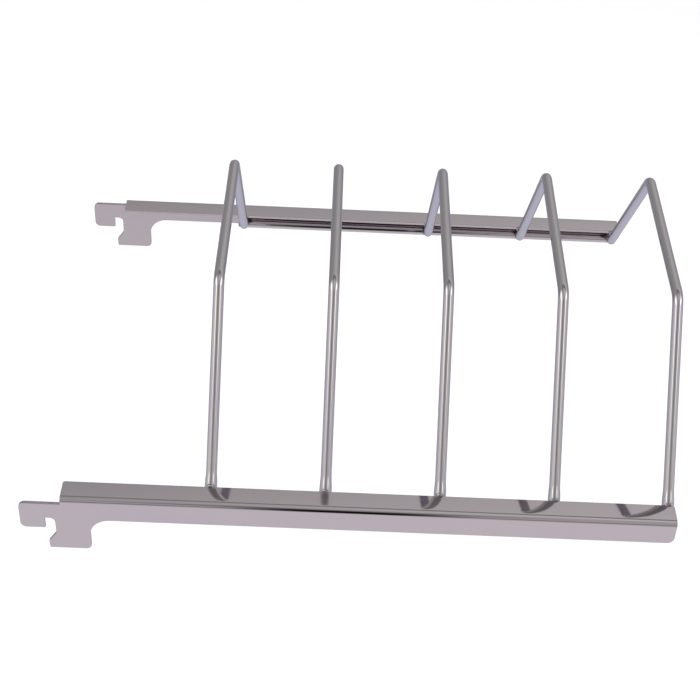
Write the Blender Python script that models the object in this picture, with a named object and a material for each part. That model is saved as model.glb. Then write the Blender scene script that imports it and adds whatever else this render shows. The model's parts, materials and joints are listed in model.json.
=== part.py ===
"""Welded steel rack that hangs on a pair of slotted wall uprights.

Two handed sheet-metal angle brackets hook into the uprights and reach out from
the wall. Five bent wire bars bridge them, and a long wire under each flange ties
the feet of the bars together.

Frame: X points away from the wall, Y runs along the wall, Z is up. The origin is
midway between the two hooks, on the front face of the uprights, at the level of
the slot edges that the hooks hang on. All lengths are in metres.
"""
import math

import bmesh
import bpy
from mathutils import Matrix, Vector

# ---------------------------------------------------------------- dimensions
RACK_WIDTH = 0.286          # outside faces of the two brackets
SHEET = 0.002               # bracket sheet thickness
GAP = 0.0003                # clearance between pieces that touch

FLANGE_TOP = 0.015          # flange's upper face, above the hanging level
WEB_HEIGHT = 0.0155         # bracket, from its lower edge to the top of the flange
FLANGE_WIDTH = 0.014        # bracket, from its outside face to the flange's edge
BEND_RADIUS = 0.003         # outside radius of the fold
FLANGE_START = 0.0035       # flange end nearest the wall
BRACKET_END = 0.3365        # free end of the bracket
END_CORNER = 0.004          # lower corner of the web at the free end

LUG_REACH = 0.019           # how far the lug reaches behind the slot's face
LUG_TOP = 0.0108
LUG_BOTTOM = -0.0075
LUG_CORNER = 0.0035
NOTCH_WIDTH = 0.0055        # room for the upright's wall between lug and body
NOTCH_CORNER = 0.003
FACE_BOTTOM = -0.0115       # lower end of the edge that bears on the upright
TAB_REACH = 0.0043          # lower tab, past the bearing edge
TAB_SHOULDER = -0.0177
TAB_BOTTOM = -0.023
TAB_END = 0.0187            # side of the tab that faces away from the wall
TAB_CORNER = 0.003
THROAT_RADIUS = 0.011       # hollow corner between the tab and the web
SMALL_CORNER = 0.001

WIRE = 0.006                # every wire in the rack
BAR_COUNT = 5
FIRST_BAR = 0.0835          # distance of the first bar from the uprights
BAR_SPACING = 0.0625
BAR_RISE = 0.088            # bar's top axis above the flanges
BAR_LEAN = 0.068            # how far a leg leans inwards over that rise
BAR_INSET = 0.018           # leg axis from the outside face, at the flange's top
BAR_BEND = 0.010            # centre-line radius of the bends

FLANGE_BEAD = 0.0018        # diameters of the two kinds of weld bead
ROD_BEAD = 0.0024

ARC_STEP = math.radians(15)     # facet angle of sheet-metal corners
BEND_FACETS = 5                 # straight pieces in each bend of a bar
SEAT_FACETS = 24
BEAD_RINGS = 8
WELD = 0.00001                  # points closer than this are one point
FLAT = math.radians(0.1)        # faces that meet at less than this are one face

# ------------------------------------------------------------ derived places
HALF_WIDTH = RACK_WIDTH / 2
RADIUS = WIRE / 2
LEG_ANGLE = math.atan2(BAR_RISE, BAR_LEAN)
LEG_IN = math.cos(LEG_ANGLE)    # leg direction: inwards
LEG_UP = math.sin(LEG_ANGLE)    # leg direction: up
WEB_BOTTOM = FLANGE_TOP - WEB_HEIGHT
BAR_TOP = FLANGE_TOP + BAR_RISE
ROD_INSET = SHEET + GAP + RADIUS
ROD_HEIGHT = WEB_BOTTOM + RADIUS
BAR_PLACES = [FIRST_BAR + i * BAR_SPACING for i in range(BAR_COUNT)]
SIDES = {"left": -1, "right": 1}


# ------------------------------------------------------------------- helpers
def clear_scene():
    for old in list(bpy.data.objects):
        bpy.data.objects.remove(old, do_unlink=True)


def collection(name):
    made = bpy.data.collections.new(name)
    bpy.context.scene.collection.children.link(made)
    return made


def steel(name, colour, roughness):
    made = bpy.data.materials.new(name)
    made.use_nodes = True
    shader = made.node_tree.nodes["Principled BSDF"]
    shader.inputs["Base Color"].default_value = (*colour, 1.0)
    shader.inputs["Metallic"].default_value = 1.0
    shader.inputs["Roughness"].default_value = roughness
    return made


def place(mesh_or_curve, name, where, material):
    made = bpy.data.objects.new(name, mesh_or_curve)
    made.data.materials.append(material)
    where.objects.link(made)
    return made


def hide_cutter(cutter):
    cutter.hide_render = True
    cutter.display_type = "WIRE"


def arc(centre, radius, start, end):
    """Points of an arc from one angle to another, in degrees, both ends included."""
    start, end = math.radians(start), math.radians(end)
    steps = max(2, round(abs(end - start) / ARC_STEP))
    turns = [start + (end - start) * i / steps for i in range(steps + 1)]
    return [(centre[0] + radius * math.cos(t), centre[1] + radius * math.sin(t)) for t in turns]


def plate(name, outline, thickness, matrix, where, material):
    """A flat outline, extruded to a thickness, as a closed mesh in world space."""
    curve = bpy.data.curves.new(name, "CURVE")
    curve.dimensions = "2D"
    curve.fill_mode = "BOTH"
    curve.extrude = thickness / 2
    spline = curve.splines.new("POLY")
    spline.points.add(len(outline) - 1)
    for point, (x, y) in zip(spline.points, outline):
        point.co = (x, y, 0.0, 1.0)
    spline.use_cyclic_u = True
    flat = place(curve, name + "_outline", where, material)
    flat.matrix_world = matrix
    return curve_to_mesh(flat, name, where, material)


def curve_to_mesh(curve_object, name, where, material):
    """Turn a curve object into a mesh whose caps are welded to its sides."""
    bpy.context.view_layer.update()
    ready = curve_object.evaluated_get(bpy.context.evaluated_depsgraph_get())
    mesh = bpy.data.meshes.new_from_object(ready)
    mesh.name = name
    matrix = curve_object.matrix_world.copy()
    bpy.data.objects.remove(curve_object, do_unlink=True)
    solid = bmesh.new()
    solid.from_mesh(mesh)
    bmesh.ops.remove_doubles(solid, verts=solid.verts, dist=WELD)
    bmesh.ops.dissolve_limit(solid, angle_limit=FLAT, verts=solid.verts, edges=solid.edges)
    bmesh.ops.recalc_face_normals(solid, faces=solid.faces)
    solid.to_mesh(mesh)
    solid.free()
    mesh.materials.clear()
    made = place(mesh, name, where, material)
    made.matrix_world = matrix
    return made


def wire(name, path, where, material):
    """A round wire along a path of points, with flat sawn ends."""
    curve = bpy.data.curves.new(name, "CURVE")
    curve.dimensions = "3D"
    curve.bevel_depth = RADIUS
    curve.bevel_resolution = 3
    curve.use_fill_caps = True
    spline = curve.splines.new("POLY")
    spline.points.add(len(path) - 1)
    for point, place_at in zip(spline.points, path):
        point.co = (*place_at, 1.0)
    spline.use_smooth = True
    return place(curve, name, where, material)


def boolean(target, operation, operand):
    modifier = target.modifiers.new(operand.name, "BOOLEAN")
    modifier.operation = operation
    modifier.solver = "EXACT"
    modifier.object = operand


def leg_point(side, inset, height):
    """World Y and Z of a point given as inset from the outside face and height."""
    return side * (HALF_WIDTH - inset), height


def leg_inset(height):
    """Inset of a leg's axis at a height."""
    return BAR_INSET + (height - FLANGE_TOP) * BAR_LEAN / BAR_RISE


def foot():
    """Inset and height of a leg's end, where its flat end lands on the long rod."""
    sideways = (leg_inset(ROD_HEIGHT) - ROD_INSET) * LEG_UP
    along = RADIUS + GAP
    inset = ROD_INSET + sideways * LEG_UP + along * LEG_IN
    height = ROD_HEIGHT - sideways * LEG_IN + along * LEG_UP
    return inset, height


# --------------------------------------------------------------- the bracket
def web_outline():
    """Side view of the web with its hook, as X and Z, counter-clockwise."""
    fold = FLANGE_TOP - BEND_RADIUS
    lug_left = -LUG_REACH
    points = [(FLANGE_START, fold), (FLANGE_START, LUG_TOP)]
    points += arc((lug_left + LUG_CORNER, LUG_TOP - LUG_CORNER), LUG_CORNER, 90, 180)
    points += arc((lug_left + LUG_CORNER, LUG_BOTTOM + LUG_CORNER), LUG_CORNER, 180, 270)
    points += [(-NOTCH_WIDTH, LUG_BOTTOM), (-NOTCH_WIDTH, 0.0)]
    points += arc((-NOTCH_CORNER, -NOTCH_CORNER), NOTCH_CORNER, 90, 0)
    points += [(0.0, FACE_BOTTOM), (-TAB_REACH, TAB_SHOULDER)]
    points += arc((-TAB_REACH + SMALL_CORNER, TAB_BOTTOM + SMALL_CORNER), SMALL_CORNER, 180, 270)
    points += arc((TAB_END - TAB_CORNER, TAB_BOTTOM + TAB_CORNER), TAB_CORNER, 270, 360)
    points += arc((TAB_END + THROAT_RADIUS, WEB_BOTTOM - THROAT_RADIUS), THROAT_RADIUS, 180, 90)
    points += arc((BRACKET_END - END_CORNER, WEB_BOTTOM + END_CORNER), END_CORNER, 270, 360)
    points += [(BRACKET_END, fold)]
    return points


def fold_outline(side):
    """End view of the fold and the flange, as Y and Z."""
    centre = (BEND_RADIUS, FLANGE_TOP - BEND_RADIUS)
    points = arc(centre, BEND_RADIUS, 180, 90)
    points += [(FLANGE_WIDTH, FLANGE_TOP), (FLANGE_WIDTH, FLANGE_TOP - SHEET)]
    points += arc(centre, BEND_RADIUS - SHEET, 90, 180)
    return [(side * (HALF_WIDTH - inset), height) for inset, height in points]


def seat_cutter(name, side, x, cutters, material):
    """A rod on a leg's axis, a gap wider than the leg, that cuts its seat in the flange."""
    solid = bmesh.new()
    length = 6 * SHEET
    bmesh.ops.create_cone(solid, cap_ends=True, segments=SEAT_FACETS, depth=length,
                          radius1=RADIUS + GAP, radius2=RADIUS + GAP)
    mesh = bpy.data.meshes.new(name)
    solid.to_mesh(mesh)
    solid.free()
    cutter = place(mesh, name, cutters, material)
    middle = FLANGE_TOP - SHEET / 2
    y, z = leg_point(side, leg_inset(middle), middle)
    direction = Vector((0.0, -side * LEG_IN, LEG_UP))
    turn = direction.to_track_quat("Z", "X").to_matrix().to_4x4()
    cutter.matrix_world = Matrix.Translation((x, y, z)) @ turn
    hide_cutter(cutter)
    return cutter


def bracket(label, side, rack, cutters, material):
    upright = Matrix.Rotation(math.radians(90), 4, "X")
    middle = side * (HALF_WIDTH - SHEET / 2)
    body = plate("bracket_" + label, web_outline(), SHEET,
                 Matrix.Translation((0.0, middle, 0.0)) @ upright, rack, material)

    endwise = Matrix.Rotation(math.radians(90), 4, "Z") @ upright
    length = BRACKET_END - FLANGE_START
    centre = (BRACKET_END + FLANGE_START) / 2
    fold = plate("fold_" + label, fold_outline(side), length,
                 Matrix.Translation((centre, 0.0, 0.0)) @ endwise, cutters, material)
    hide_cutter(fold)
    boolean(body, "UNION", fold)
    for number, x in enumerate(BAR_PLACES, 1):
        name = f"seat_{number}_{label}"
        boolean(body, "DIFFERENCE", seat_cutter(name, side, x, cutters, material))


# ----------------------------------------------------------------- the wires
def bar_path(x):
    """Centre line of one bar: leg, bend, level top, bend, leg."""
    end_inset, end_height = foot()
    corner = leg_inset(BAR_TOP)
    trim = BAR_BEND * math.tan(LEG_ANGLE / 2)
    half = [(end_inset, end_height)]
    for i in range(BEND_FACETS + 1):
        turn = LEG_ANGLE * (1 - i / BEND_FACETS)
        half.append((corner + trim - BAR_BEND * math.sin(turn),
                     BAR_TOP - BAR_BEND * (1 - math.cos(turn))))
    near = [(x, *leg_point(-1, inset, height)) for inset, height in half]
    far = [(x, *leg_point(1, inset, height)) for inset, height in reversed(half)]
    return near + far


def long_rod(label, side, rack, material):
    y, z = leg_point(side, ROD_INSET, ROD_HEIGHT)
    ends = (BAR_PLACES[0] - RADIUS, BAR_PLACES[-1] + RADIUS)
    wire("long_rod_" + label, [(x, y, z) for x in ends], rack, material)


# ----------------------------------------------------------------- the welds
def bead(name, centre, diameter, rack, material):
    solid = bmesh.new()
    bmesh.ops.create_uvsphere(solid, u_segments=BEAD_RINGS, v_segments=BEAD_RINGS - 2,
                              radius=diameter / 2)
    mesh = bpy.data.meshes.new(name)
    solid.to_mesh(mesh)
    solid.free()
    mesh.shade_smooth()
    made = place(mesh, name, rack, material)
    made.location = centre


def beside_leg(inset, height, diameter):
    """Distance along X from a leg's axis to a bead that just clears the leg."""
    sideways = (leg_inset(height) - inset) * LEG_UP
    return math.sqrt((RADIUS + GAP + diameter / 2) ** 2 - sideways ** 2)


def welds(number, x, label, side, rack, material):
    """Two beads on the wall side of one foot: on the flange's edge and on the rod."""
    inset = FLANGE_WIDTH + GAP + FLANGE_BEAD / 2
    height = FLANGE_TOP - SHEET / 2
    offset = beside_leg(inset, height, FLANGE_BEAD)
    bead(f"flange_weld_{number}_{label}", (x - offset, *leg_point(side, inset, height)),
         FLANGE_BEAD, rack, material)

    reach = RADIUS + GAP + ROD_BEAD / 2
    inset = ROD_INSET + reach * LEG_IN
    height = ROD_HEIGHT + reach * LEG_UP
    offset = beside_leg(inset, height, ROD_BEAD)
    bead(f"rod_weld_{number}_{label}", (x - offset, *leg_point(side, inset, height)),
         ROD_BEAD, rack, material)


# -------------------------------------------------------------------- build
def build():
    clear_scene()
    rack = collection("hanging_rack")
    cutters = collection("cutters")
    sheet_steel = steel("polished_sheet", (0.68, 0.65, 0.68), 0.12)
    wire_steel = steel("polished_wire", (0.60, 0.58, 0.61), 0.15)
    weld_steel = steel("weld_metal", (0.30, 0.28, 0.28), 0.40)

    for label, side in SIDES.items():
        bracket(label, side, rack, cutters, sheet_steel)
        long_rod(label, side, rack, wire_steel)
    for number, x in enumerate(BAR_PLACES, 1):
        wire(f"bar_{number}", bar_path(x), rack, wire_steel)
        for label, side in SIDES.items():
            welds(number, x, label, side, rack, weld_steel)


build()
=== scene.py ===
"""Visual model of a welded steel rack that hangs on a pair of slotted wall uprights.

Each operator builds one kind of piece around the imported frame: the two folded
brackets, the two long rods under their flanges, the five bent bars and the welds at
the bars' feet. The stage operator adds the floor, the light and the camera.

X points away from the wall, Y runs along the wall and Z is up. Lengths are in metres.
"""

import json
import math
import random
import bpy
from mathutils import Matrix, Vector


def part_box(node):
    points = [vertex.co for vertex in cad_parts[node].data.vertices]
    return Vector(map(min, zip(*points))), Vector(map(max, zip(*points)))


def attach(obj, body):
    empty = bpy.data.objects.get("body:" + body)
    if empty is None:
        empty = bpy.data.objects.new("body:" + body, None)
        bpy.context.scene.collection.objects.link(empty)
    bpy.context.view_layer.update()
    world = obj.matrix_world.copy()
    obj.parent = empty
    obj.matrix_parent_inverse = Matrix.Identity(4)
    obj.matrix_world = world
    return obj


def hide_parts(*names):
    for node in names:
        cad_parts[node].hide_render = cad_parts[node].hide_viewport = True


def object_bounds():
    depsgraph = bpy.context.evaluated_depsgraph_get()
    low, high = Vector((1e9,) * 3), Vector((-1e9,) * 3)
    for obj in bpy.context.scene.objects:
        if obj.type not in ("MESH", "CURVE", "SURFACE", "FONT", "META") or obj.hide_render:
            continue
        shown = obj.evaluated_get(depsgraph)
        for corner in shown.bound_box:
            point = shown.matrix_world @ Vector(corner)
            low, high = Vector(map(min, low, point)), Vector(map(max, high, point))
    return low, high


bl_info = {
    "name": "Hanging Wire Rack",
    "version": (1, 0, 0),
    "blender": (4, 5, 0),
    "location": "3D View > Sidebar > Wire Rack",
    "description": "Builds a polished wire rack that hooks into slotted wall uprights",
    "category": "Object",
}

import bmesh
import bpy
from bpy.props import FloatProperty, FloatVectorProperty, IntProperty, PointerProperty
from bpy.types import Operator, Panel, PropertyGroup
from mathutils import Matrix, Vector, noise

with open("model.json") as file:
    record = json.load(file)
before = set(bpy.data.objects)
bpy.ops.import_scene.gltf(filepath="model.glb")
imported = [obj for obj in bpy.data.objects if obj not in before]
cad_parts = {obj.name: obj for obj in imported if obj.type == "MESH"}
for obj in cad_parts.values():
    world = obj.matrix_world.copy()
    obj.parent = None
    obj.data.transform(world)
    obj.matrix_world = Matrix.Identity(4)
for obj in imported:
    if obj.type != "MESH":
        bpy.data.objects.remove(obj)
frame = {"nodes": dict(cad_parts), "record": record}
CAD_BOX = [list(corner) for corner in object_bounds()]

BODY = "root"
SIDES = {"left": -1, "right": 1}
BAR_NODES = sorted(name for name in frame["nodes"] if name.startswith("bar_"))
SHEET_SLOT, WIRE_SLOT, WELD_SLOT = (material["slot"] for material in frame["record"]["materials"])

HALF_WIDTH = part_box("bracket_right")[1].y
FLANGE_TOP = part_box("bracket_right")[1].z
BRACKET_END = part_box("bracket_right")[1].x
HOOK_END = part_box("bracket_right")[0].x
TAB_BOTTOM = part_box("bracket_right")[0].z
ROD_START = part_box("long_rod_right")[0].x
ROD_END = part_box("long_rod_right")[1].x

# Fineness of the meshes
ARC_STEP = 8.0              # degrees of an arc to one straight piece
CORNER_STEP = 15.0          # the same, for the small corners of the flange
FOLD_STEPS = 14
FLANGE_STEPS = 8
EDGE_STEPS = 3
END_STEPS = 4
SWELL_STEPS = 12
ROD_STRETCHES = 12
SEAT_SIDES = 48
BEAD_RINGS, BEAD_SIDES = 22, 16

# Angles between faces from which an edge is rounded or shaded sharp
ROUNDED_FROM = math.radians(40)
SHEET_SHARP_FROM = math.radians(35)
WIRE_SHARP_FROM = math.radians(50)


# ------------------------------------------------------------------ settings
class BracketShape(PropertyGroup):
    """Sizes of the folded sheet metal brackets."""

    sheet: FloatProperty(name="Sheet", description="Thickness of the sheet", default=0.002,
                         min=0.0005, subtype="DISTANCE", unit="LENGTH")
    web_bottom: FloatProperty(name="Web bottom", description="Height of the web's lower edge",
                              default=-0.0005, subtype="DISTANCE", unit="LENGTH")
    flange_width: FloatProperty(name="Flange width", description="Outside face to the flange's inner edge",
                                default=0.014, min=0.006, subtype="DISTANCE", unit="LENGTH")
    flange_start: FloatProperty(name="Flange start", description="Flange's end nearest the wall",
                                default=0.0035, subtype="DISTANCE", unit="LENGTH")
    flange_corner: FloatProperty(name="Flange corner", description="Rounding of the flange's inner corners",
                                 default=0.0012, min=0.0001, subtype="DISTANCE", unit="LENGTH")
    fold_radius: FloatProperty(name="Fold radius", description="Outside radius of the fold",
                               default=0.003, min=0.0022, subtype="DISTANCE", unit="LENGTH")
    springback: FloatProperty(name="Springback", description="Slope of the flange beside the fold",
                              default=math.radians(1.3), subtype="ANGLE", unit="ROTATION")
    droop: FloatProperty(name="Droop", description="Slope of the flange at its inner edge, downwards",
                         default=math.radians(2.9), subtype="ANGLE", unit="ROTATION")
    edge_round: FloatProperty(name="Edge rounding", description="Rounding of the sheet's edges",
                              default=0.00022, min=0.00005, subtype="DISTANCE", unit="LENGTH")
    end_corner: FloatProperty(name="End corner", description="Lower corner at the bracket's free end",
                              default=0.004, min=0.0005, subtype="DISTANCE", unit="LENGTH")


class HookShape(PropertyGroup):
    """Sizes of the hook that each bracket ends in."""

    lug_top: FloatProperty(name="Lug top", description="Height of the lug's upper edge",
                           default=0.0108, subtype="DISTANCE", unit="LENGTH")
    lug_bottom: FloatProperty(name="Lug bottom", description="Height of the lug's lower edge",
                              default=-0.0075, subtype="DISTANCE", unit="LENGTH")
    lug_corner: FloatProperty(name="Lug corner", description="Rounding of the lug's corners",
                              default=0.0035, min=0.0002, subtype="DISTANCE", unit="LENGTH")
    notch_width: FloatProperty(name="Notch width", description="Room for the upright's wall",
                               default=0.0055, min=0.002, subtype="DISTANCE", unit="LENGTH")
    notch_corner: FloatProperty(name="Notch corner", description="Rounding of the notch's inner corner",
                                default=0.003, min=0.0002, subtype="DISTANCE", unit="LENGTH")
    face_bottom: FloatProperty(name="Bearing edge bottom", description="Lower end of the edge on the upright",
                               default=-0.0115, subtype="DISTANCE", unit="LENGTH")
    tab_reach: FloatProperty(name="Tab reach", description="How far the lower tab passes the bearing edge",
                             default=0.0043, min=0.0, subtype="DISTANCE", unit="LENGTH")
    tab_shoulder: FloatProperty(name="Tab shoulder", description="Height where the tab gets its full width",
                                default=-0.0177, subtype="DISTANCE", unit="LENGTH")
    tab_end: FloatProperty(name="Tab end", description="Side of the tab that faces away from the wall",
                           default=0.0187, subtype="DISTANCE", unit="LENGTH")
    tab_corner: FloatProperty(name="Tab corner", description="Rounding of the tab's front corner",
                              default=0.003, min=0.0002, subtype="DISTANCE", unit="LENGTH")
    toe_corner: FloatProperty(name="Toe corner", description="Rounding of the tab's rear corner",
                              default=0.001, min=0.0002, subtype="DISTANCE", unit="LENGTH")
    throat: FloatProperty(name="Throat", description="Hollow corner between the tab and the web",
                          default=0.011, min=0.0005, subtype="DISTANCE", unit="LENGTH")


class WireShape(PropertyGroup):
    """Sizes of the bars and the long rods."""

    diameter: FloatProperty(name="Diameter", description="Diameter of every wire", default=0.006,
                            min=0.002, subtype="DISTANCE", unit="LENGTH")
    rise: FloatProperty(name="Rise", description="Height of a bar's axis above the flanges", default=0.088,
                        min=0.02, subtype="DISTANCE", unit="LENGTH")
    lean: FloatProperty(name="Lean", description="How far a leg leans inwards over the rise", default=0.068,
                        min=0.0, subtype="DISTANCE", unit="LENGTH")
    inset: FloatProperty(name="Inset", description="Leg axis to the outside face, at the flange's top",
                         default=0.018, min=0.01, subtype="DISTANCE", unit="LENGTH")
    bend: FloatProperty(name="Bend", description="Centre line radius of the bends", default=0.010,
                        min=0.004, subtype="DISTANCE", unit="LENGTH")
    gap: FloatProperty(name="Gap", description="Room between wires and the sheet they are welded to",
                       default=0.0003, min=0.0, subtype="DISTANCE", unit="LENGTH")
    swell_left: FloatProperty(name="Swell, left", description="How far the weld swells a leg at its flange",
                              default=0.00042, min=0.0, subtype="DISTANCE", unit="LENGTH")
    swell_right: FloatProperty(name="Swell, right", description="How far the weld swells a leg at its flange",
                               default=0.0001, min=0.0, subtype="DISTANCE", unit="LENGTH")
    swell_length: FloatProperty(name="Swell length", description="Length of the swollen stretch",
                                default=0.0055, min=0.001, subtype="DISTANCE", unit="LENGTH")
    end_round: FloatProperty(name="End rounding", description="Rounding of the sawn ends", default=0.0004,
                             min=0.0, subtype="DISTANCE", unit="LENGTH")
    sides: IntProperty(name="Sides", description="Faces around a wire", default=40, min=12)
    bend_steps: IntProperty(name="Bend steps", description="Faces along a bend", default=24, min=6)


class WeldShape(PropertyGroup):
    """Sizes of the weld beads."""

    flange_bead: FloatProperty(name="Flange bead", description="Thickness of the bead on the flange's edge",
                               default=0.0018, min=0.0005, subtype="DISTANCE", unit="LENGTH")
    rod_bead: FloatProperty(name="Rod bead", description="Thickness of the bead on the long rod",
                            default=0.0015, min=0.0005, subtype="DISTANCE", unit="LENGTH")
    start_left: FloatProperty(name="Start, left", description="Where left beads start, from the wall side",
                              default=math.radians(48), subtype="ANGLE", unit="ROTATION")
    start_right: FloatProperty(name="Start, right", description="Where right beads start, from the wall side",
                               default=math.radians(2), subtype="ANGLE", unit="ROTATION")
    unevenness: FloatProperty(name="Unevenness", description="How lumpy a bead is, against its thickness",
                              default=0.22, min=0.0, max=0.6, subtype="FACTOR")


class Finish(PropertyGroup):
    """Colours and gloss of the steel."""

    sheet_colour: FloatVectorProperty(name="Sheet", description="Colour of the polished sheet",
                                      default=(0.50, 0.45, 0.465), size=3, min=0.0, max=1.0, subtype="COLOR")
    sheet_tint: FloatVectorProperty(name="Sheet tint", description="Second colour of the sheet's mottling",
                                    default=(0.48, 0.44, 0.47), size=3, min=0.0, max=1.0, subtype="COLOR")
    wire_colour: FloatVectorProperty(name="Wire", description="Colour of the polished wire",
                                     default=(0.48, 0.45, 0.47), size=3, min=0.0, max=1.0, subtype="COLOR")
    wire_tint: FloatVectorProperty(name="Wire tint", description="Second colour of the wire's mottling",
                                   default=(0.50, 0.46, 0.46), size=3, min=0.0, max=1.0, subtype="COLOR")
    weld_colour: FloatVectorProperty(name="Weld", description="Colour of the weld metal",
                                     default=(0.42, 0.38, 0.39), size=3, min=0.0, max=1.0, subtype="COLOR")
    weld_tint: FloatVectorProperty(name="Weld tint", description="Colour of the burnt spots on the welds",
                                   default=(0.12, 0.10, 0.10), size=3, min=0.0, max=1.0, subtype="COLOR")
    gloss_low: FloatProperty(name="Smoothest", description="Roughness of the best polished spots",
                             default=0.03, min=0.0, max=1.0, subtype="FACTOR")
    gloss_high: FloatProperty(name="Roughest", description="Roughness of the dullest spots", default=0.085,
                              min=0.0, max=1.0, subtype="FACTOR")


class StageSetup(PropertyGroup):
    """Floor, light and camera."""

    aim: FloatVectorProperty(name="Aim", description="Point that the camera looks at", size=3,
                             default=(0.1574, -0.0038, 0.0114), subtype="XYZ", unit="LENGTH")
    distance: FloatProperty(name="Distance", description="Camera to aim", default=0.935, min=0.1,
                            subtype="DISTANCE", unit="LENGTH")
    lens: FloatProperty(name="Lens", description="Focal length in millimetres", default=79.1, min=10.0)
    elevation: FloatProperty(name="Elevation", description="How far the camera looks down",
                             default=math.radians(39.71), subtype="ANGLE", unit="ROTATION")
    heading: FloatProperty(name="Heading", description="How far the camera turns away from the wall",
                           default=math.radians(0.97), subtype="ANGLE", unit="ROTATION")
    roll: FloatProperty(name="Roll", description="How far the camera leans to the side",
                        default=math.radians(3.0), subtype="ANGLE", unit="ROTATION")
    floor_drop: FloatProperty(name="Floor drop", description="Floor below the rack's lowest point",
                              default=0.30, min=0.0, subtype="DISTANCE", unit="LENGTH")
    floor_size: FloatProperty(name="Floor size", description="Width of the floor", default=12.0, min=1.0,
                              subtype="DISTANCE", unit="LENGTH")
    floor_colour: FloatVectorProperty(name="Floor", description="Colour of the floor", size=3,
                                      default=(0.86, 0.86, 0.88), min=0.0, max=1.0, subtype="COLOR")
    key_power: FloatProperty(name="Key light", description="Power of the overhead light, in watts",
                             default=40.0, min=0.0)


# --------------------------------------------------------------- mesh helpers
def arc(centre, radius, start, end, step=ARC_STEP):
    """Points of an arc from one angle to another, in degrees, both ends included."""
    count = max(2, round(abs(end - start) / step))
    turns = [math.radians(start + (end - start) * i / count) for i in range(count + 1)]
    return [(centre[0] + radius * math.cos(t), centre[1] + radius * math.sin(t)) for t in turns]


def smooth_step(value):
    """0 below 0, 1 above 1, and a soft rise between them."""
    value = min(max(value, 0.0), 1.0)
    return value * value * (3.0 - 2.0 * value)


def to_mesh(solid, name):
    """Move a bmesh into a new mesh."""
    mesh = bpy.data.meshes.new(name)
    solid.to_mesh(mesh)
    solid.free()
    return mesh


def show(name, mesh, *materials):
    """An object for a mesh, in the scene, with its materials."""
    made = bpy.data.objects.new(name, mesh)
    for material in materials:
        mesh.materials.append(material)
    bpy.context.scene.collection.objects.link(made)
    return made


def hand_over(piece, slot, *nodes):
    """The piece stands for these frame nodes and moves with the rack."""
    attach(piece, BODY)
    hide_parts(*nodes)


def settle(piece):
    """Turn the piece's modifiers into its mesh."""
    bpy.context.view_layer.update()
    graph = bpy.context.evaluated_depsgraph_get()
    ready = piece.evaluated_get(graph)
    mesh = bpy.data.meshes.new_from_object(ready, preserve_all_data_layers=True, depsgraph=graph)
    if not mesh.polygons:
        raise RuntimeError(f"{piece.name} has no faces left after its modifiers")
    piece.modifiers.clear()
    piece.data = mesh


def keep_flats_flat(piece, sharp_angle):
    """Smooth shading that leaves large flat faces flat beside their rounded edges."""
    piece.data.shade_smooth()
    piece.data.set_sharp_from_angle(angle=sharp_angle)
    weight = piece.modifiers.new("flat_faces_stay_flat", "WEIGHTED_NORMAL")
    weight.keep_sharp = True
    settle(piece)


def swept_wire(name, path, across, sides, end_round=0.0):
    """A round wire along a flat path of (point, radius), as a closed mesh.

    across is the direction square to the plane that the path lies in. The UV map
    holds metres along the wire and turns around it. A station of the wire is its
    point, direction, radius and distance from the first end.
    """
    solid = bmesh.new()
    uv = solid.loops.layers.uv.new("along_wire")
    across = Vector(across)
    points = [Vector(point) for point, _ in path]
    stations = []
    for i, (_, radius) in enumerate(path):
        before, after = points[max(i - 1, 0)], points[min(i + 1, len(points) - 1)]
        stations.append([points[i], (after - before).normalized(), radius, 0.0])
    if end_round:
        stations = round_ends(stations, end_round)
    for i in range(1, len(stations)):
        stations[i][3] = stations[i - 1][3] + (stations[i][0] - stations[i - 1][0]).length
    rings = []
    turns = [2 * math.pi * k / sides for k in range(sides)]
    for point, tangent, radius, _ in stations:
        up = tangent.cross(across)
        rings.append([solid.verts.new(point + radius * (math.cos(turn) * across + math.sin(turn) * up))
                      for turn in turns])
    for i in range(len(rings) - 1):
        for k in range(sides):
            places = ((i, k), (i, k + 1), (i + 1, k + 1), (i + 1, k))
            face = solid.faces.new([rings[at][turn % sides] for at, turn in places])
            for loop, (at, turn) in zip(face.loops, places):
                loop[uv].uv = (stations[at][3], turn / sides)
    for ring in (rings[0], rings[-1]):
        solid.faces.new(ring)
    bmesh.ops.recalc_face_normals(solid, faces=solid.faces)
    mesh = to_mesh(solid, name)
    mesh.shade_smooth()
    mesh.set_sharp_from_angle(angle=WIRE_SHARP_FROM)
    return mesh


def round_ends(stations, size):
    """Stations of a wire with rounded rims at both ends."""
    def rim(station, inwards):
        point, tangent, radius, _ = station
        turns = [math.pi / 2 * i / END_STEPS for i in range(END_STEPS + 1)]
        return [[point + tangent * inwards * size * (1 - math.cos(turn)), tangent,
                 radius - size * (1 - math.sin(turn)), 0.0] for turn in turns]

    return rim(stations[0], 1) + stations[1:-1] + rim(stations[-1], -1)[::-1]


# ---------------------------------------------------------- procedural finish
# Noise scales along the three axes of a coordinate: per metre for Object, and for UV per
# metre along the wire and per turn around it
CLOUD_SCALE = (14, 30, 30)
WAVE_SCALE = (45, 90, 90)
SHEET_GRAIN, SHEET_SCRATCHES = (25, 900, 900), (9, 1500, 1500)
WIRE_GRAIN, WIRE_SCRATCHES = (60, 28, 1), (22, 46, 1)
SHEAR_SCALE = (1400, 60, 1400)
BLOTCH_SCALE = (700, 700, 700)
RIPPLE_SCALE = (2600, 2600, 2600)
FLOOR_SCALE = (3, 3, 3)

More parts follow.
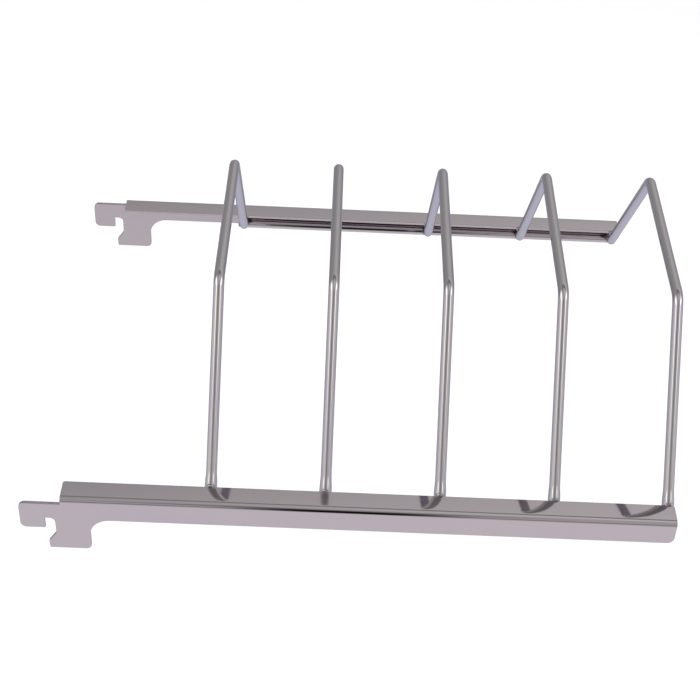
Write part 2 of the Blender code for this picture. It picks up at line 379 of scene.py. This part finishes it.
# Ramps: between the first two numbers, the value goes from the third to the fourth
MOTTLE = (0.35, 0.65, 0.0, 1.0)
GRAIN_DULLNESS = (0.3, 0.75, 0.0, 0.8)
HAIRLINES = (0.66, 0.72, 0.0, 1.0)
SHEAR_SHADE = (0.35, 0.7, 0.0, 1.0)
SHEAR_ROUGHNESS = (0.3, 0.7, 0.14, 0.26)
BURNT = (0.50, 0.66, 0.0, 1.0)
WELD_ROUGHNESS = (0.3, 0.7, 0.16, 0.42)

SCRATCH_DEPTH = -0.05       # against the waves
SHEAR_DARKENING = 0.82
FLOOR_DARKENING = 0.985
FLOOR_ROUGHNESS = 0.75


def new_material(name, metallic):
    """A node based material, with its tree, its shader and its texture coordinates."""
    material = bpy.data.materials.new(name)
    material.use_nodes = True
    tree = material.node_tree
    shader = tree.nodes["Principled BSDF"]
    shader.inputs["Metallic"].default_value = metallic
    return material, tree, shader, tree.nodes.new("ShaderNodeTexCoord").outputs


def feed(tree, socket, value):
    """Give a socket a number, a colour or the output of another node."""
    if isinstance(value, bpy.types.NodeSocket):
        tree.links.new(value, socket)
    elif isinstance(value, (int, float)):
        socket.default_value = value
    else:
        socket.default_value = (*value, 1.0)


def stretched_noise(tree, source, stretch, detail):
    """A noise whose grain has its own scale along each axis of the source."""
    mapping = tree.nodes.new("ShaderNodeMapping")
    mapping.inputs["Scale"].default_value = stretch
    texture = tree.nodes.new("ShaderNodeTexNoise")
    texture.inputs["Scale"].default_value = 1.0
    texture.inputs["Detail"].default_value = detail
    tree.links.new(source, mapping.inputs["Vector"])
    tree.links.new(mapping.outputs["Vector"], texture.inputs["Vector"])
    return texture.outputs["Fac"]


def spread(tree, value, low, high, new_low, new_high):
    """The value moved from one range to another, and held inside it."""
    node = tree.nodes.new("ShaderNodeMapRange")
    node.inputs["From Min"].default_value = low
    node.inputs["From Max"].default_value = high
    node.inputs["To Min"].default_value = new_low
    node.inputs["To Max"].default_value = new_high
    tree.links.new(value, node.inputs["Value"])
    return node.outputs["Result"]


def calculate(tree, operation, first, second):
    """The result of a sum or another operation on two values."""
    node = tree.nodes.new("ShaderNodeMath")
    node.operation = operation
    for socket, value in zip(node.inputs, (first, second)):
        feed(tree, socket, value)
    return node.outputs["Value"]


def mix(tree, data_type, factor, first, second):
    """The first value where the factor is 0, and the second where it is 1."""
    node = tree.nodes.new("ShaderNodeMix")
    node.data_type = data_type
    for name, value in (("Factor", factor), ("A", first), ("B", second)):
        feed(tree, node.inputs[name], value)
    return node.outputs["Result"]


def bump(tree, shader, height, distance, strength):
    """Let a height, times a distance in metres, tilt the shader's surface."""
    node = tree.nodes.new("ShaderNodeBump")
    node.inputs["Distance"].default_value = distance
    node.inputs["Strength"].default_value = strength
    tree.links.new(height, node.inputs["Height"])
    tree.links.new(node.outputs["Normal"], shader.inputs["Normal"])


def polished_steel(name, colour, tint, coordinate, grain, scratches):
    """Bright steel with cloudy tints, polishing grain and sparse hairline scratches."""
    finish = bpy.context.scene.rack_finish
    material, tree, shader, places = new_material(name, 1.0)
    mottle = spread(tree, stretched_noise(tree, places["Object"], CLOUD_SCALE, 3.0), *MOTTLE)
    tree.links.new(mix(tree, "RGBA", mottle, colour, tint), shader.inputs["Base Color"])

    fine = stretched_noise(tree, places[coordinate], grain, 4.0)
    hairlines = spread(tree, stretched_noise(tree, places[coordinate], scratches, 1.0), *HAIRLINES)
    dull = calculate(tree, "MAXIMUM", spread(tree, fine, *GRAIN_DULLNESS), hairlines)
    roughness = spread(tree, dull, 0.0, 1.0, finish.gloss_low, finish.gloss_high)
    tree.links.new(roughness, shader.inputs["Roughness"])

    waves = stretched_noise(tree, places["Object"], WAVE_SCALE, 1.0)
    relief = calculate(tree, "ADD", waves, calculate(tree, "MULTIPLY", hairlines, SCRATCH_DEPTH))
    bump(tree, shader, relief, 0.00004, 0.35)
    return material


def polished_sheet():
    """The faces of the sheet metal, polished along the brackets."""
    finish = bpy.context.scene.rack_finish
    return polished_steel("polished_sheet_steel", finish.sheet_colour, finish.sheet_tint, "Object",
                          SHEET_GRAIN, SHEET_SCRATCHES)


def polished_wire():
    """The drawn wire, with marks along it."""
    finish = bpy.context.scene.rack_finish
    return polished_steel("polished_wire_steel", finish.wire_colour, finish.wire_tint, "UV",
                          WIRE_GRAIN, WIRE_SCRATCHES)


def sheared_edge():
    """The cut edge of the sheet: slightly duller, with marks across its thickness."""
    colour = bpy.context.scene.rack_finish.sheet_colour
    material, tree, shader, places = new_material("sheared_steel_edge", 1.0)
    marks = stretched_noise(tree, places["Object"], SHEAR_SCALE, 2.0)
    dark = [SHEAR_DARKENING * channel for channel in colour]
    shade = mix(tree, "RGBA", spread(tree, marks, *SHEAR_SHADE), colour, dark)
    tree.links.new(shade, shader.inputs["Base Color"])
    tree.links.new(spread(tree, marks, *SHEAR_ROUGHNESS), shader.inputs["Roughness"])
    bump(tree, shader, marks, 0.00002, 0.3)
    return material


def weld_metal():
    """Weld metal: uneven, duller than the wire, with burnt spots."""
    finish = bpy.context.scene.rack_finish
    material, tree, shader, places = new_material("weld_steel", 1.0)
    blotches = stretched_noise(tree, places["Object"], BLOTCH_SCALE, 4.0)
    shade = mix(tree, "RGBA", spread(tree, blotches, *BURNT), finish.weld_colour, finish.weld_tint)
    tree.links.new(shade, shader.inputs["Base Color"])
    tree.links.new(spread(tree, blotches, *WELD_ROUGHNESS), shader.inputs["Roughness"])
    bump(tree, shader, stretched_noise(tree, places["Object"], RIPPLE_SCALE, 3.0), 0.00008, 0.5)
    return material


def floor_paint():
    """Plain matt floor with a faint unevenness in tone."""
    colour = bpy.context.scene.rack_stage.floor_colour
    material, tree, shader, places = new_material("pale_floor", 0.0)
    clouds = stretched_noise(tree, places["Object"], FLOOR_SCALE, 4.0)
    darker = [FLOOR_DARKENING * channel for channel in colour]
    tree.links.new(mix(tree, "RGBA", clouds, colour, darker), shader.inputs["Base Color"])
    shader.inputs["Roughness"].default_value = FLOOR_ROUGHNESS
    return material


# ------------------------------------------------------------------ brackets
CROWN = 1.7             # power of the flange's slope: the higher, the nearer the crown to the edge
CORNER_ROOM = 1.6       # flange left for its corners, in corner roundings


def hook_outline():
    """Side view of the web with its hook, as X and Z, from the fold line and back to it."""
    web, hook = bpy.context.scene.rack_bracket, bpy.context.scene.rack_hook
    corner, toe, tab, throat = hook.lug_corner, hook.toe_corner, hook.tab_corner, hook.throat
    points = [(web.flange_start, fold_line()), (web.flange_start, hook.lug_top)]
    points += arc((HOOK_END + corner, hook.lug_top - corner), corner, 90, 180)
    points += arc((HOOK_END + corner, hook.lug_bottom + corner), corner, 180, 270)
    points += [(-hook.notch_width, hook.lug_bottom), (-hook.notch_width, 0.0)]
    points += arc((-hook.notch_corner, -hook.notch_corner), hook.notch_corner, 90, 0)
    points += [(0.0, hook.face_bottom), (-hook.tab_reach, hook.tab_shoulder)]
    points += arc((toe - hook.tab_reach, TAB_BOTTOM + toe), toe, 180, 270)
    points += arc((hook.tab_end - tab, TAB_BOTTOM + tab), tab, 270, 360)
    points += arc((hook.tab_end + throat, web.web_bottom - throat), throat, 180, 90)
    points += arc((BRACKET_END - web.end_corner, web.web_bottom + web.end_corner), web.end_corner, 270, 360)
    points += [(BRACKET_END, fold_line())]
    return points


def fold_line():
    """Height where the web turns into the fold."""
    return FLANGE_TOP - bpy.context.scene.rack_bracket.fold_radius


def flange_point(share):
    """Inset and height on the crowned flange, from the fold at 0 to the inner edge at 1."""
    web = bpy.context.scene.rack_bracket
    radius, slope = web.fold_radius, web.springback
    inset, height = radius - radius * math.sin(slope), fold_line() + radius * math.cos(slope)
    width = web.flange_width - inset
    climb = math.tan(slope) * share - (math.tan(slope) + math.tan(web.droop)) * share ** CROWN / CROWN
    return inset + width * share, height + width * climb


def fold_rows():
    """Inset and height of each row across the fold and most of the flange."""
    web = bpy.context.scene.rack_bracket
    radius, start, end = web.fold_radius, math.pi, math.pi / 2 + web.springback
    turns = [start + (end - start) * i / FOLD_STEPS for i in range(1, FOLD_STEPS)]
    fold = [(radius + radius * math.cos(turn), fold_line() + radius * math.sin(turn)) for turn in turns]
    inner = 1 - CORNER_ROOM * web.flange_corner / web.flange_width
    return fold + [flange_point(inner * i / FLANGE_STEPS) for i in range(FLANGE_STEPS + 1)]


def flange_outline():
    """X, inset and height around the flange's inner edge, from its free end to its wall end."""
    web = bpy.context.scene.rack_bracket
    corner, edge = web.flange_corner, web.flange_width
    start = flange_point(0.0)[0]
    free_end = arc((BRACKET_END - corner, edge - corner), corner, 0, 90, CORNER_STEP)
    wall_end = arc((web.flange_start + corner, edge - corner), corner, 90, 180, CORNER_STEP)
    return [(x, *flange_point((across - start) / (edge - start))) for x, across in free_end + wall_end]


def leg_seats(side, bars):
    """One cutter of sloping rods, a hair thicker than the legs that they make room for."""
    wire = bpy.context.scene.rack_wire
    solid = bmesh.new()
    direction = Vector((0.0, -side * wire.lean, wire.rise)).normalized()
    turn = direction.to_track_quat("Z", "X").to_matrix().to_4x4()
    radius = wire.diameter / 2 + wire.gap / 3
    middle = Vector((0.0, side * (HALF_WIDTH - wire.inset), FLANGE_TOP))
    for x in bars:
        matrix = Matrix.Translation(middle + Vector((x, 0.0, 0.0))) @ turn
        bmesh.ops.create_cone(solid, cap_ends=True, segments=SEAT_SIDES, depth=3 * wire.diameter,
                              radius1=radius, radius2=radius, matrix=matrix)
    return show("leg_seats", to_mesh(solid, "leg_seats"))


def bracket_surface(name, side):
    """Outside surface of one bracket: the web, the fold and the flange."""
    web = bpy.context.scene.rack_bracket
    solid = bmesh.new()

    def vertex(x, inset, height):
        return solid.verts.new((x, side * (HALF_WIDTH - inset), height))

    outline = [vertex(x, 0.0, z) for x, z in hook_outline()]
    solid.faces.new(outline)
    wall_end, free_end = outline[0], outline[-1]
    for inset, height in fold_rows():
        new_wall_end = vertex(web.flange_start, inset, height)
        new_free_end = vertex(BRACKET_END, inset, height)
        solid.faces.new((wall_end, free_end, new_free_end, new_wall_end))
        wall_end, free_end = new_wall_end, new_free_end
    edge = [vertex(x, inset, height) for x, inset, height in flange_outline()]
    solid.faces.new([wall_end, free_end, *edge])
    bmesh.ops.recalc_face_normals(solid, faces=solid.faces)
    solid.faces.ensure_lookup_table()
    if solid.faces[0].normal.y * side < 0:
        bmesh.ops.reverse_faces(solid, faces=solid.faces)
    return to_mesh(solid, name)


def build_bracket(label, side, face, edge):
    """One bracket: its surface made thick, its edges broken and its seats cut."""
    web = bpy.context.scene.rack_bracket
    name = label + "_bracket_sheet"
    piece = show(name, bracket_surface(name, side), face, edge)
    thick = piece.modifiers.new("thickness", "SOLIDIFY")
    thick.thickness = web.sheet
    thick.offset = -1.0
    thick.use_even_offset = True
    thick.use_quality_normals = True
    thick.material_offset_rim = 1
    rounding = piece.modifiers.new("rounding", "BEVEL")
    rounding.width = web.edge_round
    rounding.segments = EDGE_STEPS
    rounding.limit_method = "ANGLE"
    rounding.angle_limit = ROUNDED_FROM
    rounding.use_clamp_overlap = False
    cutter = leg_seats(side, bar_places())
    seats = piece.modifiers.new("seats", "BOOLEAN")
    seats.operation = "DIFFERENCE"
    seats.object = cutter
    settle(piece)
    keep_flats_flat(piece, SHEET_SHARP_FROM)
    bpy.data.objects.remove(cutter, do_unlink=True)
    hand_over(piece, SHEET_SLOT, "bracket_" + label)


class RACK_OT_brackets(Operator):
    """Fold the two sheet metal brackets with their hooks"""

    bl_idname = "rack.brackets"
    bl_label = "Brackets"

    def execute(self, context):
        face, edge = polished_sheet(), sheared_edge()
        for label, side in SIDES.items():
            build_bracket(label, side, face, edge)
        return {"FINISHED"}


# --------------------------------------------------------------------- wires
def bar_places():
    """Distance of each bar from the uprights."""
    return [sum(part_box(name)[i].x for i in (0, 1)) / 2 for name in BAR_NODES]


def leg_angle():
    """Slope of the legs."""
    wire = bpy.context.scene.rack_wire
    return math.atan2(wire.rise, wire.lean)


def leg_inset(height):
    """Inset of a leg's axis at a height."""
    wire = bpy.context.scene.rack_wire
    return wire.inset + (height - FLANGE_TOP) * wire.lean / wire.rise


def rod_axis():
    """Inset and height of the long rods' axes."""
    web, wire = bpy.context.scene.rack_bracket, bpy.context.scene.rack_wire
    return web.sheet + wire.gap + wire.diameter / 2, web.web_bottom + wire.diameter / 2


def foot():
    """Inset and height of a leg's end, where it lands on the long rod."""
    wire = bpy.context.scene.rack_wire
    inset, height = rod_axis()
    inwards, upwards = math.cos(leg_angle()), math.sin(leg_angle())
    sideways = (leg_inset(height) - inset) * upwards
    along = wire.diameter / 2 + wire.gap
    return inset + sideways * upwards + along * inwards, height - sideways * inwards + along * upwards


def half_bar(most_swell):
    """Inset, height and radius along one half of a bar, from its foot to its top."""
    wire = bpy.context.scene.rack_wire
    angle, radius = leg_angle(), wire.diameter / 2
    top = FLANGE_TOP + wire.rise
    corner, trim = leg_inset(top), wire.bend * math.tan(angle / 2)
    start_inset, start_height = foot()
    reach, middle = wire.swell_length / math.sin(angle), FLANGE_TOP - radius * math.cos(angle)
    swollen = range(-SWELL_STEPS // 2, SWELL_STEPS + 1)
    heights = [start_height] + [middle + reach * i / SWELL_STEPS for i in swollen]
    stations = []
    for height in heights:
        swell = most_swell * (1 - smooth_step(abs(height - middle) / reach))
        inset = leg_inset(height) if height > start_height else start_inset
        stations.append((inset, height, radius + swell))
    for i in range(wire.bend_steps + 1):
        turn = angle * (1 - i / wire.bend_steps)
        stations.append((corner + trim - wire.bend * math.sin(turn),
                         top - wire.bend * (1 - math.cos(turn)), radius))
    return stations


def bar_path(x):
    """Centre line of a bar with its radius, from the left foot to the right foot."""
    wire = bpy.context.scene.rack_wire
    left, right = half_bar(wire.swell_left), half_bar(wire.swell_right)
    up = [((x, inset - HALF_WIDTH, height), radius) for inset, height, radius in left]
    down = [((x, HALF_WIDTH - inset, height), radius) for inset, height, radius in reversed(right)]
    return up + down


class RACK_OT_bars(Operator):
    """Bend the wire bars that bridge the brackets"""

    bl_idname = "rack.bars"
    bl_label = "Bars"

    def execute(self, context):
        wire = context.scene.rack_wire
        steel = polished_wire()
        for node, x in zip(BAR_NODES, bar_places()):
            name = node + "_wire"
            mesh = swept_wire(name, bar_path(x), (1, 0, 0), wire.sides, wire.end_round)
            hand_over(show(name, mesh, steel), WIRE_SLOT, node)
        return {"FINISHED"}


class RACK_OT_long_rods(Operator):
    """Lay the long rods in the inside corners of the brackets"""

    bl_idname = "rack.long_rods"
    bl_label = "Long rods"

    def execute(self, context):
        wire = context.scene.rack_wire
        steel = polished_wire()
        inset, height = rod_axis()
        stretch = (ROD_END - ROD_START) / ROD_STRETCHES
        for label, side in SIDES.items():
            name = label + "_long_rod_wire"
            y = side * (HALF_WIDTH - inset)
            path = [((ROD_START + stretch * i, y, height), wire.diameter / 2)
                    for i in range(ROD_STRETCHES + 1)]
            mesh = swept_wire(name, path, (0, 1, 0), wire.sides, wire.end_round)
            hand_over(show(name, mesh, steel), WIRE_SLOT, "long_rod_" + label)
        return {"FINISHED"}


# --------------------------------------------------------------------- welds
LUMP_SCALE = 1400                   # lumps of a bead, per metre
THICKNESS_SPREAD = (0.85, 1.15)     # thinnest and thickest bead, against the set thickness
# Lowest and highest angles at which beads start and end, in degrees from the wall side
FLANGE_BEAD_START = (-8, 8)         # added to the set start
FLANGE_BEAD_END = (110, 140)
ROD_BEAD_START = (-35, -20)
ROD_BEAD_END = (50, 75)


def bead_mesh(name, centre, first, second, radius, span, thickness, dice):
    """A lumpy bead of weld metal that wraps part of the way around a leg.

    first and second are the directions that the bead turns from and towards, span is
    its two end angles and radius its distance from the centre.
    """
    unevenness = bpy.context.scene.rack_weld.unevenness
    solid = bmesh.new()
    shift = Vector([dice.uniform(0, 100) for _ in range(3)])
    loops = []
    for i in range(BEAD_RINGS + 1):
        share = i / BEAD_RINGS
        turn = span[0] + (span[1] - span[0]) * share
        outwards = math.cos(turn) * first + math.sin(turn) * second
        along = math.cos(turn) * second - math.sin(turn) * first
        above = outwards.cross(along)
        middle = centre + radius * outwards
        swell = math.sqrt(max(1 - (2 * share - 1) ** 2, 0.0)) * thickness / 2
        if i in (0, BEAD_RINGS):
            loops.append([solid.verts.new(middle)])
            continue
        loop = []
        for k in range(BEAD_SIDES):
            around = 2 * math.pi * k / BEAD_SIDES
            place = middle + swell * (math.cos(around) * outwards + math.sin(around) * above)
            lump = 1 + unevenness * noise.noise(place * LUMP_SCALE + shift)
            loop.append(solid.verts.new(middle + (place - middle) * lump))
        loops.append(loop)
    for low, high in zip(loops, loops[1:]):
        for k in range(BEAD_SIDES):
            corners = [low[k % len(low)], low[(k + 1) % len(low)],
                       high[(k + 1) % len(high)], high[k % len(high)]]
            solid.faces.new(list(dict.fromkeys(corners)))
    bmesh.ops.recalc_face_normals(solid, faces=solid.faces)
    mesh = to_mesh(solid, name)
    mesh.shade_smooth()
    return mesh


def leg_directions(side):
    """The way towards the wall, the way outwards square to a leg, and the way up a leg."""
    angle = leg_angle()
    wallward = Vector((-1.0, 0.0, 0.0))
    outward = Vector((0.0, side * math.sin(angle), math.cos(angle)))
    up = Vector((0.0, -side * math.cos(angle), math.sin(angle)))
    return wallward, outward, up


class RACK_OT_welds(Operator):
    """Run the weld beads that hold the bars' feet"""

    bl_idname = "rack.welds"
    bl_label = "Welds"

    def execute(self, context):
        wire, weld = context.scene.rack_wire, context.scene.rack_weld
        steel = weld_metal()
        dice = random.Random(5)
        foot_inset, foot_height = foot()
        reach = wire.diameter / 2 + wire.gap / 2
        for number, x in enumerate(bar_places(), 1):
            for label, side in SIDES.items():
                wallward, outward, up = leg_directions(side)

                name = f"flange_bead_{number}_{label}"
                height = FLANGE_TOP - wire.diameter / 2 * outward.z + weld.flange_bead / 8
                centre = Vector((x, side * (HALF_WIDTH - leg_inset(height)), height))
                start = {"left": weld.start_left, "right": weld.start_right}[label]
                span = (start + math.radians(dice.uniform(*FLANGE_BEAD_START)),
                        math.radians(dice.uniform(*FLANGE_BEAD_END)))
                mesh = bead_mesh(name, centre, wallward, outward, reach, span,
                                 weld.flange_bead * dice.uniform(*THICKNESS_SPREAD), dice)
                hand_over(show(name, mesh, steel), WELD_SLOT, f"flange_weld_{number}_{label}")

                name = f"rod_bead_{number}_{label}"
                centre = Vector((x, side * (HALF_WIDTH - foot_inset), foot_height)) + up * weld.rod_bead / 4
                span = (math.radians(dice.uniform(*ROD_BEAD_START)),
                        math.radians(dice.uniform(*ROD_BEAD_END)))
                mesh = bead_mesh(name, centre, wallward, outward, reach, span,
                                 weld.rod_bead * dice.uniform(*THICKNESS_SPREAD), dice)
                hand_over(show(name, mesh, steel), WELD_SLOT, f"rod_weld_{number}_{label}")
        return {"FINISHED"}


# --------------------------------------------------------------------- stage
# The studio is brightness over unit directions from the rack: across is X, away is Y and up
# is Z. In a ramp, the value goes from the third number to the fourth between the first two.
WALL_SHADE = (0.0, 0.75, 0.42, 0.68)            # grey wall behind the rack, over up
WALL_SLANT = (-0.25, 0.25, -0.145, 0.125)       # added to the wall, over across
SLANT_FADE = (0.0, 0.6, 0.3, 1.0)               # share of the slant, over up
WALL_STRIP, WALL_STRIP_SOFT, WALL_STRIP_SHADE = (0.80, 0.975), 0.07, 0.31
FRONT_SHADE = (-1.0, 1.0, 1.01, 0.93)           # white in front of the rack, over across
CEILING_EDGE = (0.84, 0.95, 0.0, 1.0)           # over up
CEILING_SHADE = (-0.25, 0.25, 0.48, 0.95)       # over across
WALL_EDGE = (-0.12, 0.25, 0.0, 1.0)             # over away
FLOOR_SHADE = (0.05, 0.75, 0.97, 0.46)          # floor below, over away
LOW_FLOOR_SHADE = (-0.68, -0.52, 1.0, 0.86)     # share of the floor's brightness, over up
HORIZON = (-0.06, 0.04, 0.0, 1.0)               # over up
TINT_EDGE = (-0.3, 0.4, 0.0, 1.0)               # from the front floor's tint to the back's, over away
REVERSED = (0.0, 1.0, 1.0, 0.0)
BACKDROP = 0.92

# Soft panels of light and shade in front of the rack, as seen from it: the sides of each
# across and up, its soft edge and its brightness
FRONT_PANELS = (
    ("open gap around the camera", (-0.42, 0.80), (0.05, 1.20), 0.22, 0.62),
    ("left soft box", (-0.98, -0.62), (0.41, 0.74), 0.09, 2.80),
    ("right soft box", (0.60, 0.98), (0.41, 0.74), 0.09, 2.60),
    ("camera", (-0.13, 0.12), (0.40, 0.72), 0.10, 0.30),
    ("camera stand", (-0.048, 0.080), (-0.20, 0.48), 0.05, 0.01),
)
# Shadows low in front of the rack: the sides of each across and up, each pair with its soft
# edge, and the share of the light that it leaves
LOW_SHADOWS = (
    ("table edge", (-0.7, 0.7), 0.3, (-0.30, 0.10), 0.16, 0.45),
    ("foot of the camera stand", (-0.040, 0.072), 0.05, (-0.36, 0.10), 0.10, 0.05),
)
WHITE = (1.0, 1.0, 1.0)
FRONT_FLOOR_TINT = (0.99, 0.965, 1.02)
BACK_FLOOR_TINT = (0.97, 1.0, 1.20)

KEY_SIZE = 2.4
KEY_HEIGHT = 2.2


def window(tree, value, sides, soft):
    """1 between the two sides, 0 outside them, with soft edges."""
    rise = spread(tree, value, sides[0] - soft / 2, sides[0] + soft / 2, 0.0, 1.0)
    fall = spread(tree, value, sides[1] - soft / 2, sides[1] + soft / 2, 1.0, 0.0)
    return calculate(tree, "MULTIPLY", rise, fall)


def studio_world(scene):
    """A soft studio: grey wall behind, white front, two soft boxes beside the camera."""
    world = bpy.data.worlds.new("studio")
    world.use_nodes = True
    scene.world = world
    tree = world.node_tree
    background = tree.nodes["Background"]
    direction = tree.nodes.new("ShaderNodeSeparateXYZ")
    tree.links.new(tree.nodes.new("ShaderNodeTexCoord").outputs["Generated"], direction.inputs["Vector"])
    across, away, up = direction.outputs

    slant = calculate(tree, "MULTIPLY", spread(tree, across, *WALL_SLANT), spread(tree, up, *SLANT_FADE))
    wall = calculate(tree, "ADD", spread(tree, up, *WALL_SHADE), slant)
    strip = window(tree, up, WALL_STRIP, WALL_STRIP_SOFT)
    wall = mix(tree, "FLOAT", strip, wall, WALL_STRIP_SHADE)

    front = spread(tree, across, *FRONT_SHADE)
    for _, x_sides, z_sides, soft, brightness in FRONT_PANELS:
        inside = calculate(tree, "MULTIPLY", window(tree, across, x_sides, soft),
                           window(tree, up, z_sides, soft))
        front = mix(tree, "FLOAT", inside, front, brightness)
    front = mix(tree, "FLOAT", spread(tree, up, *CEILING_EDGE), front, spread(tree, across, *CEILING_SHADE))

    behind = spread(tree, away, *WALL_EDGE)
    above = mix(tree, "FLOAT", behind, front, wall)
    below = calculate(tree, "MULTIPLY", spread(tree, away, *FLOOR_SHADE), spread(tree, up, *LOW_FLOOR_SHADE))
    skyward = spread(tree, up, *HORIZON)
    light = mix(tree, "FLOAT", skyward, below, above)
    in_front = spread(tree, behind, *REVERSED)
    for _, x_sides, x_soft, z_sides, z_soft, left in LOW_SHADOWS:
        shadow = calculate(tree, "MULTIPLY", window(tree, across, x_sides, x_soft),
                           window(tree, up, z_sides, z_soft))
        shadow = calculate(tree, "MULTIPLY", shadow, in_front)
        light = calculate(tree, "MULTIPLY", light, spread(tree, shadow, 0.0, 1.0, 1.0, left))

    floor_tint = mix(tree, "RGBA", spread(tree, away, *TINT_EDGE), FRONT_FLOOR_TINT, BACK_FLOOR_TINT)
    tint = mix(tree, "RGBA", skyward, floor_tint, WHITE)
    seen = tree.nodes.new("ShaderNodeLightPath").outputs["Is Camera Ray"]
    tree.links.new(mix(tree, "RGBA", seen, tint, WHITE), background.inputs["Color"])
    tree.links.new(mix(tree, "FLOAT", seen, light, BACKDROP), background.inputs["Strength"])


def camera_axes(stage):
    """Right, up and forward of the camera."""
    slope, turn, roll = stage.elevation, stage.heading, stage.roll
    forward = Vector((math.sin(turn) * math.cos(slope), math.cos(turn) * math.cos(slope), -math.sin(slope)))
    level = Vector((math.cos(turn), -math.sin(turn), 0.0))
    upright = level.cross(forward)
    right = math.cos(roll) * level + math.sin(roll) * upright
    return right, right.cross(forward), forward


class RACK_OT_stage(Operator):
    """Add the floor, the studio light and the camera"""

    bl_idname = "rack.stage"
    bl_label = "Stage"

    def execute(self, context):
        scene, stage = context.scene, context.scene.rack_stage
        scene.view_settings.view_transform = "Standard"
        studio_world(scene)

        solid = bmesh.new()
        bmesh.ops.create_grid(solid, x_segments=4, y_segments=4, size=stage.floor_size / 2)
        floor = show("floor", to_mesh(solid, "floor"), floor_paint())
        floor.location.z = CAD_BOX[0][2] - stage.floor_drop
        floor.visible_glossy = False

        key = bpy.data.lights.new("overhead_light", "AREA")
        key.shape = "DISK"
        key.size = KEY_SIZE
        key.energy = stage.key_power
        lamp = bpy.data.objects.new("overhead_light", key)
        lamp.location = (stage.aim[0], stage.aim[1], KEY_HEIGHT)
        lamp.visible_camera = False
        lamp.visible_glossy = False
        scene.collection.objects.link(lamp)

        right, up, forward = camera_axes(stage)
        turn = Matrix((right, up, -forward)).transposed().to_4x4()
        camera = bpy.data.objects.new("camera", bpy.data.cameras.new("camera"))
        camera.data.lens = stage.lens
        camera.matrix_world = Matrix.Translation(Vector(stage.aim) - stage.distance * forward) @ turn
        scene.collection.objects.link(camera)
        scene.camera = camera
        return {"FINISHED"}


# --------------------------------------------------------------------- panel
class RACK_PT_panel(Panel):
    """Builds the rack and sets its sizes"""

    bl_label = "Wire Rack"
    bl_idname = "RACK_PT_panel"
    bl_space_type = "VIEW_3D"
    bl_region_type = "UI"
    bl_category = "Wire Rack"

    def draw(self, context):
        for operator in OPERATORS:
            self.layout.operator(operator.bl_idname)
        for attribute, group in SETTINGS.items():
            box = self.layout.box()
            box.label(text=group.__name__)
            for name in group.__annotations__:
                box.prop(getattr(context.scene, attribute), name)


SETTINGS = {
    "rack_bracket": BracketShape,
    "rack_hook": HookShape,
    "rack_wire": WireShape,
    "rack_weld": WeldShape,
    "rack_finish": Finish,
    "rack_stage": StageSetup,
}
OPERATORS = (RACK_OT_stage, RACK_OT_brackets, RACK_OT_long_rods, RACK_OT_bars, RACK_OT_welds)


def register():
    for group in SETTINGS.values():
        bpy.utils.register_class(group)
    for operator in OPERATORS:
        bpy.utils.register_class(operator)
    bpy.utils.register_class(RACK_PT_panel)
    for attribute, group in SETTINGS.items():
        setattr(bpy.types.Scene, attribute, PointerProperty(type=group))


def unregister():
    for attribute in SETTINGS:
        delattr(bpy.types.Scene, attribute)
    bpy.utils.unregister_class(RACK_PT_panel)
    for operator in reversed(OPERATORS):
        bpy.utils.unregister_class(operator)
    for group in reversed(SETTINGS.values()):
        bpy.utils.unregister_class(group)


def main():
    register()
    bpy.ops.rack.stage()
    bpy.ops.rack.brackets()
    bpy.ops.rack.long_rods()
    bpy.ops.rack.bars()
    bpy.ops.rack.welds()


if __name__ == "__main__":
    main()
